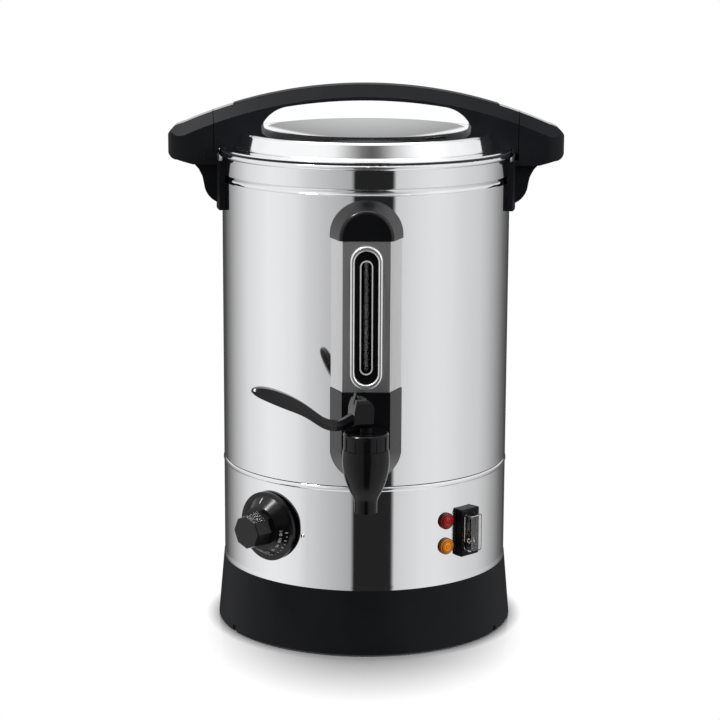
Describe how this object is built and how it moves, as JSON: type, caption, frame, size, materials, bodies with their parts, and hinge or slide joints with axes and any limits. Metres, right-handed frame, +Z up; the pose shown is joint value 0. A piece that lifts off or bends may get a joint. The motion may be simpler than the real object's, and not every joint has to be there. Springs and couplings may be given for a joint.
{
  "type": "mulled wine boiler",
  "caption": "Electric steel urn for hot drinks: lift-off lid with an arched handle, level gauge over a lever tap, thermostat dial, indicator lamps and rocker switch.",
  "frame": {"origin": "middle of the base's bottom edge, on the surface that it stands on", "axes": "+Z up along the tank's axis; -Y is the front, with the tap and the gauge; +X is the viewer's right"},
  "size_m": [0.3016, 0.2914, 0.4174],
  "materials": {
    "steel": "polished, lightly brushed",
    "zinc": "plated",
    "spring_steel": "drawn wire",
    "heater_sheath": "heat tinted",
    "copper_sensor": "drawn tube",
    "bright_trim": "polished",
    "black_base": "satin",
    "black_handle": "satin",
    "grip_strip": "fine matt",
    "black_tap": "satin",
    "black_knob": "satin",
    "black_switch": "satin",
    "panel_black": "gloss",
    "pale_trim": "printed",
    "gauge_glass": "clear",
    "clear_cover": "clear, soft",
    "red_lens": "translucent",
    "amber_lens": "translucent",
    "seal_rubber": "matt"
  },
  "bodies": {
    "boiler": {"tank": "steel", "tank_floor": "steel", "control_shell": "steel", "gauge_cover": "steel", "heat_plate": "steel", "thermostat_saddle": "steel", "tie_stud": "steel", "bottom_screws": "zinc", "tie_nut": "zinc", "thermostat_screws": "zinc", "cap_screw": "zinc", "lug_screws": "zinc", "bottom_plate": "zinc", "tap_spring": "spring_steel", "heating_element": "heater_sheath", "thermostat_sensor": "copper_sensor", "gauge_bezel": "bright_trim", "base_skirt": "black_base", "lug_left": "black_handle", "lug_right": "black_handle", "lid_rest_pads": "black_handle", "tap_body": "black_tap", "tap_bonnet": "black_tap", "tap_bracket": "black_tap", "gauge_top_cap": "black_tap", "tap_nut": "black_tap", "gauge_tee": "black_tap", "switch_frame": "black_switch", "cord_gland": "black_switch", "lamp_holders": "black_switch", "thermostat_body": "black_switch", "thermal_cutout": "black_switch", "gauge_panel": "panel_black", "gauge_slot_rim": "pale_trim", "gauge_tube": "gauge_glass", "switch_cover": "clear_cover", "red_lens": "red_lens", "amber_lens": "amber_lens", "gauge_seals": "seal_rubber", "tap_gaskets": "seal_rubber", "rubber_feet": "seal_rubber"},
    "lid_seal": {"lid_gasket": "seal_rubber"},
    "lid": {"lid": "steel", "lid_handle": "black_handle", "handle_grip": "grip_strip", "handle_screws": "zinc"},
    "dial": {"thermostat_knob": "black_knob", "thermostat_spindle": "zinc"},
    "rocker": {"rocker": "black_switch"},
    "tap_seat": {"seat_cup": "seal_rubber"},
    "tap_stem": {"tap_stem": "black_tap", "lever_pin": "zinc"},
    "tap_lever": {"tap_lever": "black_tap"}
  },
  "joints": [
    {"name": "lid_lift", "type": "slide", "parent": "boiler", "child": "lid_seal", "axis": [0, 0, 1], "range_m": [0, 0.12]},
    {"name": "lid_turn", "type": "hinge", "parent": "lid_seal", "child": "lid", "pos_m": [0, 0, 0.37], "axis": [0, 0, 1], "range_deg": [0, 30]},
    {"name": "thermostat_turn", "type": "hinge", "parent": "boiler", "child": "dial", "pos_m": [-0.07129, -0.08377, 0.0929], "axis": [-0.6481, -0.7615, 0], "range_deg": [-280, 0]},
    {"name": "rocker_tilt", "type": "hinge", "parent": "boiler", "child": "rocker", "pos_m": [0.07691, -0.08076, 0.0883], "axis": [0.7242, 0.6896, 0], "range_deg": [0, 20]},
    {"name": "seat_lift", "type": "slide", "parent": "boiler", "child": "tap_seat", "axis": [0, 0, 1], "range_m": [0, 0.005], "deforming": ["tap_spring"]},
    {"name": "lever_swivel", "type": "hinge", "parent": "tap_seat", "child": "tap_stem", "pos_m": [0, -0.15, 0.17], "axis": [0, 0, 1], "range_deg": [-30, 180]},
    {"name": "lever_tilt", "type": "hinge", "parent": "tap_stem", "child": "tap_lever", "pos_m": [0, -0.15, 0.193], "axis": [0.2588, -0.9659, 0], "range_deg": [0, 18], "stiffness_Nm_per_rad": 0.6, "springref_deg": -17.19}
  ],
  "couplings": [
    {"joint": "seat_lift", "follows": "lever_tilt", "m_per_rad": 0.0159}
  ]
}
